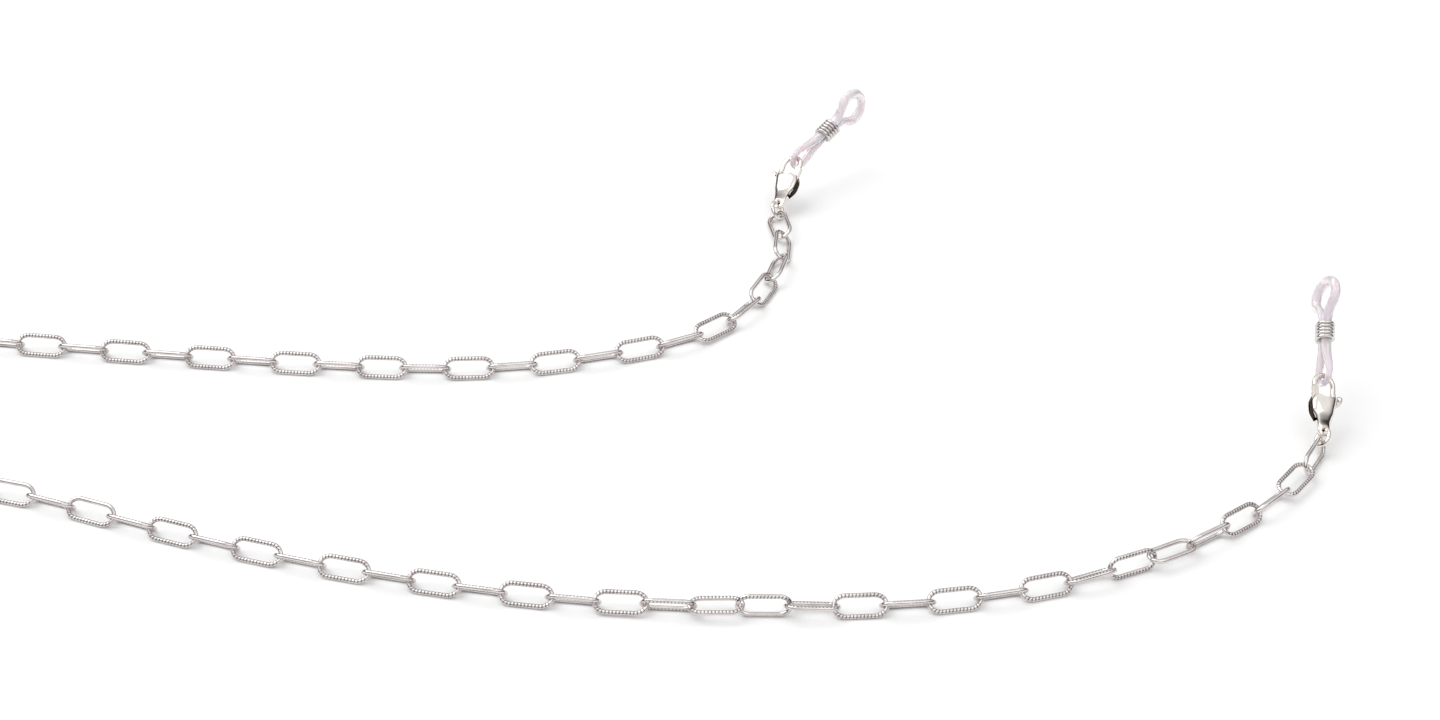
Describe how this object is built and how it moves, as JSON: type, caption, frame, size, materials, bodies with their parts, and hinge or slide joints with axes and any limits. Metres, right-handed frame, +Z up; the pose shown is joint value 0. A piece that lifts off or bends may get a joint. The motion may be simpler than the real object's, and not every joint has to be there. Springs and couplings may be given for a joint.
{
  "type": "eyeglasses chain strap",
  "caption": "Glasses chain strap: polished paperclip links, a sprung lobster clasp at each end, and clear silicone loops with wire cinches that grip the temple arms.",
  "frame": {"origin": "under the middle of the strap's box, on the table plane", "axes": "+Z up from the table, +X to the right along the strap's long way, +Y away from the viewer, towards the back strand's end"},
  "size_m": [0.3246, 0.1634, 0.0221],
  "materials": {
    "chain_metal": "bright polished, silver coloured",
    "ring_wire": "bright polished wire",
    "clasp_metal": "bright polished casting",
    "rivet": "polished, peened ends",
    "spring_steel": "plain spring steel",
    "coil_wire": "bright polished wire",
    "silicone": "smooth milky translucent silicone"
  },
  "bodies": {
    "back_link_01": {"back_link_01": "chain_metal"},
    "back_link_02": {"back_link_02": "chain_metal"},
    "back_link_03": {"back_link_03": "chain_metal"},
    "back_link_04": {"back_link_04": "chain_metal"},
    "back_link_05": {"back_link_05": "chain_metal"},
    "back_link_06": {"back_link_06": "chain_metal"},
    "back_link_07": {"back_link_07": "chain_metal"},
    "back_link_08": {"back_link_08": "chain_metal"},
    "back_link_09": {"back_link_09": "chain_metal"},
    "link_pair_01": {"link_pair_01": "chain_metal"},
    "link_pair_02": {"link_pair_02": "chain_metal"},
    "link_pair_03": {"link_pair_03": "chain_metal"},
    "link_pair_04": {"link_pair_04": "chain_metal"},
    "link_pair_05": {"link_pair_05": "chain_metal"},
    "link_pair_06": {"link_pair_06": "chain_metal"},
    "link_pair_07": {"link_pair_07": "chain_metal"},
    "link_pair_08": {"link_pair_08": "chain_metal"},
    "link_pair_09": {"link_pair_09": "chain_metal"},
    "link_pair_10": {"link_pair_10": "chain_metal"},
    "link_pair_11": {"link_pair_11": "chain_metal"},
    "link_pair_12": {"link_pair_12": "chain_metal"},
    "link_pair_13": {"link_pair_13": "chain_metal"},
    "link_pair_14": {"link_pair_14": "chain_metal"},
    "link_pair_15": {"link_pair_15": "chain_metal"},
    "link_pair_16": {"link_pair_16": "chain_metal"},
    "link_pair_17": {"link_pair_17": "chain_metal"},
    "link_pair_18": {"link_pair_18": "chain_metal"},
    "link_pair_19": {"link_pair_19": "chain_metal"},
    "link_pair_20": {"link_pair_20": "chain_metal"},
    "link_pair_21": {"link_pair_21": "chain_metal"},
    "link_pair_22": {"link_pair_22": "chain_metal"},
    "link_pair_23": {"link_pair_23": "chain_metal"},
    "link_pair_24": {"link_pair_24": "chain_metal"},
    "link_pair_25": {"link_pair_25": "chain_metal"},
    "link_pair_26": {"link_pair_26": "chain_metal"},
    "link_pair_27": {"link_pair_27": "chain_metal"},
    "front_link_09": {"front_link_09": "chain_metal"},
    "front_link_08": {"front_link_08": "chain_metal"},
    "front_link_07": {"front_link_07": "chain_metal"},
    "front_link_06": {"front_link_06": "chain_metal"},
    "front_link_05": {"front_link_05": "chain_metal"},
    "front_link_04": {"front_link_04": "chain_metal"},
    "front_link_03": {"front_link_03": "chain_metal"},
    "front_link_02": {"front_link_02": "chain_metal"},
    "front_link_01": {"front_link_01": "chain_metal"},
    "back_jump_ring": {"back_jump_ring": "ring_wire"},
    "back_clasp": {"back_clasp_body": "clasp_metal", "back_clasp_pin": "rivet", "back_clasp_spring": "spring_steel"},
    "back_lever": {"back_clasp_lever": "clasp_metal"},
    "back_loop": {"back_silicone_loop": "silicone"},
    "back_coil": {"back_cinch_coil": "coil_wire"},
    "front_jump_ring": {"front_jump_ring": "ring_wire"},
    "front_clasp": {"front_clasp_body": "clasp_metal", "front_clasp_pin": "rivet", "front_clasp_spring": "spring_steel"},
    "front_lever": {"front_clasp_lever": "clasp_metal"},
    "front_loop": {"front_silicone_loop": "silicone"},
    "front_coil": {"front_cinch_coil": "coil_wire"}
  },
  "joints": [
    {"name": "clasp_ring_back", "type": "hinge", "parent": "back_link_01", "child": "back_jump_ring", "pos_m": [0.05347, 0.0549, 0.00143], "axis": [0, 0, 1], "range_deg": [-18, 12]},
    {"name": "clasp_swing_back", "type": "hinge", "parent": "back_jump_ring", "child": "back_clasp", "pos_m": [0.05413, 0.0577, 0.00267], "axis": [0, 0, 1], "range_deg": [-24, 12]},
    {"name": "clasp_lever_back", "type": "hinge", "parent": "back_clasp", "child": "back_lever", "pos_m": [0.05578, 0.06089, 0.00488], "axis": [-0.4327, -0.3513, 0.8303], "range_deg": [0, 28], "stiffness_Nm_per_rad": 0.002, "springref_deg": -17.19, "deforming": ["back_clasp_spring"]},
    {"name": "clasp_loop_back", "type": "hinge", "parent": "back_clasp", "child": "back_loop", "pos_m": [0.05728, 0.06558, 0.00765], "axis": [0, 0, 1], "range_deg": [-12, 18]},
    {"name": "cinch_slide_back", "type": "slide", "parent": "back_loop", "child": "back_coil", "axis": [-0.66, -0.67, -0.34], "range_m": [0, 0.0015]},
    {"name": "clasp_ring_front", "type": "hinge", "parent": "front_link_01", "child": "front_jump_ring", "pos_m": [0.15659, -0.02972, 0.00229], "axis": [0, 0, 1], "range_deg": [-12, 24]},
    {"name": "clasp_swing_front", "type": "hinge", "parent": "front_jump_ring", "child": "front_clasp", "pos_m": [0.1571, -0.02695, 0.00363], "axis": [0, 0, 1], "range_deg": [-12, 24]},
    {"name": "clasp_lever_front", "type": "hinge", "parent": "front_clasp", "child": "front_lever", "pos_m": [0.15698, -0.02349, 0.00605], "axis": [-0.3977, 0.5161, -0.7586], "range_deg": [0, 28], "stiffness_Nm_per_rad": 0.002, "springref_deg": -17.19, "deforming": ["front_clasp_spring"]},
    {"name": "clasp_loop_front", "type": "hinge", "parent": "front_clasp", "child": "front_loop", "pos_m": [0.15781, -0.01864, 0.00891], "axis": [0, 0, 1], "range_deg": [-24, 10]},
    {"name": "cinch_slide_front", "type": "slide", "parent": "front_loop", "child": "front_coil", "axis": [-0.1001, -0.8712, -0.4806], "range_m": [0, 0.0015]},
    {"name": "link_yaw_back_35", "type": "hinge", "parent": "link_pair_14", "child": "link_pair_13", "pos_m": [-0.1382, -0.0417, 0.00179], "axis": [0, 0, 1], "range_deg": [-14.7, 18]},
    {"name": "link_yaw_back_33", "type": "hinge", "parent": "link_pair_13", "child": "link_pair_12", "pos_m": [-0.15338, -0.03397, 0.00179], "axis": [0, 0, -1], "range_deg": [-18, 10.7]},
    {"name": "link_yaw_back_31", "type": "hinge", "parent": "link_pair_12", "child": "link_pair_11", "pos_m": [-0.1608, -0.01877, 0.00179], "axis": [0, 0, 1], "range_deg": [-3.3, 18]},
    {"name": "link_yaw_back_29", "type": "hinge", "parent": "link_pair_11", "child": "link_pair_10", "pos_m": [-0.15476, -0.003, 0.00179], "axis": [0, 0, -1], "range_deg": [-18, 10.6]},
    {"name": "link_yaw_back_27", "type": "hinge", "parent": "link_pair_10", "child": "link_pair_09", "pos_m": [-0.1403, 0.00603, 0.00179], "axis": [0, 0, 1], "range_deg": [-16.6, 18]},
    {"name": "link_yaw_back_25", "type": "hinge", "parent": "link_pair_09", "child": "link_pair_08", "pos_m": [-0.12329, 0.00815, 0.00179], "axis": [0, 0, -1], "range_deg": [-18, 18]},
    {"name": "link_yaw_back_23", "type": "hinge", "parent": "link_pair_08", "child": "link_pair_07", "pos_m": [-0.10616, 0.00672, 0.00179], "axis": [0, 0, 1], "range_deg": [-18, 18]},
    {"name": "link_yaw_back_21", "type": "hinge", "parent": "link_pair_07", "child": "link_pair_06", "pos_m": [-0.08911, 0.00444, 0.00179], "axis": [0, 0, -1], "range_deg": [-18, 18]},
    {"name": "link_yaw_back_19", "type": "hinge", "parent": "link_pair_06", "child": "link_pair_05", "pos_m": [-0.07205, 0.00223, 0.00179], "axis": [0, 0, 1], "range_deg": [-18, 18]},
    {"name": "link_yaw_back_17", "type": "hinge", "parent": "link_pair_05", "child": "link_pair_04", "pos_m": [-0.05498, 0.00013, 0.00179], "axis": [0, 0, -1], "range_deg": [-18, 18]},
    {"name": "link_yaw_back_15", "type": "hinge", "parent": "link_pair_04", "child": "link_pair_03", "pos_m": [-0.03788, -0.00174, 0.00179], "axis": [0, 0, 1], "range_deg": [-18, 18]},
    {"name": "link_yaw_back_13", "type": "hinge", "parent": "link_pair_03", "child": "link_pair_02", "pos_m": [-0.02073, -0.00301, 0.00179], "axis": [0, 0, -1], "range_deg": [-18, 18]},
    {"name": "link_yaw_back_11", "type": "hinge", "parent": "link_pair_02", "child": "link_pair_01", "pos_m": [-0.00354, -0.00287, 0.00179], "axis": [0, 0, 1], "range_deg": [-18, 18]},
    {"name": "link_yaw_back_09", "type": "hinge", "parent": "link_pair_01", "child": "back_link_09", "pos_m": [0.0134, -0.00001, 0.00179], "axis": [0, 0, -1], "range_deg": [-18, 18]},
    {"name": "link_yaw_back_08", "type": "hinge", "parent": "back_link_09", "child": "back_link_08", "pos_m": [0.02169, 0.00228, 0.00179], "axis": [0, 0, 1], "range_deg": [-18, 18]},
    {"name": "link_yaw_back_07", "type": "hinge", "parent": "back_link_08", "child": "back_link_07", "pos_m": [0.02987, 0.00493, 0.00179], "axis": [0, 0, -1], "range_deg": [-18, 18]},
    {"name": "link_yaw_back_06", "type": "hinge", "parent": "back_link_07", "child": "back_link_06", "pos_m": [0.03757, 0.00878, 0.00179], "axis": [0, 0, 1], "range_deg": [-18, 13.9]},
    {"name": "link_yaw_back_05", "type": "hinge", "parent": "back_link_06", "child": "back_link_05", "pos_m": [0.04399, 0.0145, 0.00167], "axis": [0, 0, -1], "range_deg": [-15.3, 18]},
    {"name": "link_yaw_back_04", "type": "hinge", "parent": "back_link_05", "child": "back_link_04", "pos_m": [0.04887, 0.02158, 0.00179], "axis": [0, 0, 1], "range_deg": [-18, 17.5]},
    {"name": "link_yaw_back_03", "type": "hinge", "parent": "back_link_04", "child": "back_link_03", "pos_m": [0.05225, 0.02949, 0.00179], "axis": [0, 0, -1], "range_deg": [-18, 18]},
    {"name": "link_yaw_back_02", "type": "hinge", "parent": "back_link_03", "child": "back_link_02", "pos_m": [0.05437, 0.03782, 0.00179], "axis": [0, 0, 1], "range_deg": [-18, 18]},
    {"name": "link_yaw_back_01", "type": "hinge", "parent": "back_link_02", "child": "back_link_01", "pos_m": [0.05495, 0.04641, 0.00179], "axis": [0, 0, -1], "range_deg": [-15.3, 18]},
    {"name": "link_yaw_front_37", "type": "hinge", "parent": "link_pair_14", "child": "link_pair_15", "pos_m": [-0.12105, -0.04186, 0.00179], "axis": [0, 0, 1], "range_deg": [-18, 18]},
    {"name": "link_yaw_front_39", "type": "hinge", "parent": "link_pair_15", "child": "link_pair_16", "pos_m": [-0.10387, -0.04179, 0.00179], "axis": [0, 0, -1], "range_deg": [-18, 18]},
    {"name": "link_yaw_front_41", "type": "hinge", "parent": "link_pair_16", "child": "link_pair_17", "pos_m": [-0.08718, -0.04578, 0.00179], "axis": [0, 0, 1], "range_deg": [-18, 18]},
    {"name": "link_yaw_front_43", "type": "hinge", "parent": "link_pair_17", "child": "link_pair_18", "pos_m": [-0.07123, -0.05223, 0.00179], "axis": [0, 0, -1], "range_deg": [-18, 18]},
    {"name": "link_yaw_front_45", "type": "hinge", "parent": "link_pair_18", "child": "link_pair_19", "pos_m": [-0.05523, -0.05854, 0.00179], "axis": [0, 0, 1], "range_deg": [-18, 18]},
    {"name": "link_yaw_front_47", "type": "hinge", "parent": "link_pair_19", "child": "link_pair_20", "pos_m": [-0.03901, -0.06426, 0.00179], "axis": [0, 0, -1], "range_deg": [-18, 18]},
    {"name": "link_yaw_front_49", "type": "hinge", "parent": "link_pair_20", "child": "link_pair_21", "pos_m": [-0.02254, -0.0692, 0.00179], "axis": [0, 0, 1], "range_deg": [-18, 18]},
    {"name": "link_yaw_front_51", "type": "hinge", "parent": "link_pair_21", "child": "link_pair_22", "pos_m": [-0.00584, -0.07331, 0.00179], "axis": [0, 0, -1], "range_deg": [-18, 18]},
    {"name": "link_yaw_front_53", "type": "hinge", "parent": "link_pair_22", "child": "link_pair_23", "pos_m": [0.01106, -0.07651, 0.00184], "axis": [0, 0, 1], "range_deg": [-18, 18]},
    {"name": "link_yaw_front_55", "type": "hinge", "parent": "link_pair_23", "child": "link_pair_24", "pos_m": [0.02813, -0.07859, 0.00204], "axis": [0, 0, -1], "range_deg": [-18, 18]},
    {"name": "link_yaw_front_57", "type": "hinge", "parent": "link_pair_24", "child": "link_pair_25", "pos_m": [0.04531, -0.07945, 0.00234], "axis": [0, 0, 1], "range_deg": [-18, 18]},
    {"name": "link_yaw_front_59", "type": "hinge", "parent": "link_pair_25", "child": "link_pair_26", "pos_m": [0.06251, -0.07935, 0.00193], "axis": [0, 0, -1], "range_deg": [-18, 18]},
    {"name": "link_yaw_front_61", "type": "hinge", "parent": "link_pair_26", "child": "link_pair_27", "pos_m": [0.07964, -0.07795, 0.00179], "axis": [0, 0, 1], "range_deg": [-18, 18]},
    {"name": "link_yaw_front_63", "type": "hinge", "parent": "link_pair_27", "child": "front_link_09", "pos_m": [0.09649, -0.07455, 0.00179], "axis": [0, 0, -1], "range_deg": [-18, 18]},
    {"name": "link_yaw_front_64", "type": "hinge", "parent": "front_link_09", "child": "front_link_08", "pos_m": [0.10472, -0.07205, 0.00179], "axis": [0, 0, 1], "range_deg": [-18, 18]},
    {"name": "link_yaw_front_65", "type": "hinge", "parent": "front_link_08", "child": "front_link_07", "pos_m": [0.11278, -0.06903, 0.00232], "axis": [0, 0, -1], "range_deg": [-18, 18]},
    {"name": "link_yaw_front_66", "type": "hinge", "parent": "front_link_07", "child": "front_link_06", "pos_m": [0.12058, -0.06541, 0.00232], "axis": [0, 0, 1], "range_deg": [-18, 18]},
    {"name": "link_yaw_front_67", "type": "hinge", "parent": "front_link_06", "child": "front_link_05", "pos_m": [0.128, -0.06106, 0.00214], "axis": [0, 0, -1], "range_deg": [-18, 18]},
    {"name": "link_yaw_front_68", "type": "hinge", "parent": "front_link_05", "child": "front_link_04", "pos_m": [0.135, -0.05607, 0.00214], "axis": [0, 0, 1], "range_deg": [-18, 18]},
    {"name": "link_yaw_front_69", "type": "hinge", "parent": "front_link_04", "child": "front_link_03", "pos_m": [0.14155, -0.0505, 0.00191], "axis": [0, 0, -1], "range_deg": [-18, 18]},
    {"name": "link_yaw_front_70", "type": "hinge", "parent": "front_link_03", "child": "front_link_02", "pos_m": [0.14749, -0.04427, 0.00191], "axis": [0, 0, 1], "range_deg": [-18, 18]},
    {"name": "link_yaw_front_71", "type": "hinge", "parent": "front_link_02", "child": "front_link_01", "pos_m": [0.15257, -0.03734, 0.00229], "axis": [0, 0, -1], "range_deg": [-18, 18]}
  ]
}
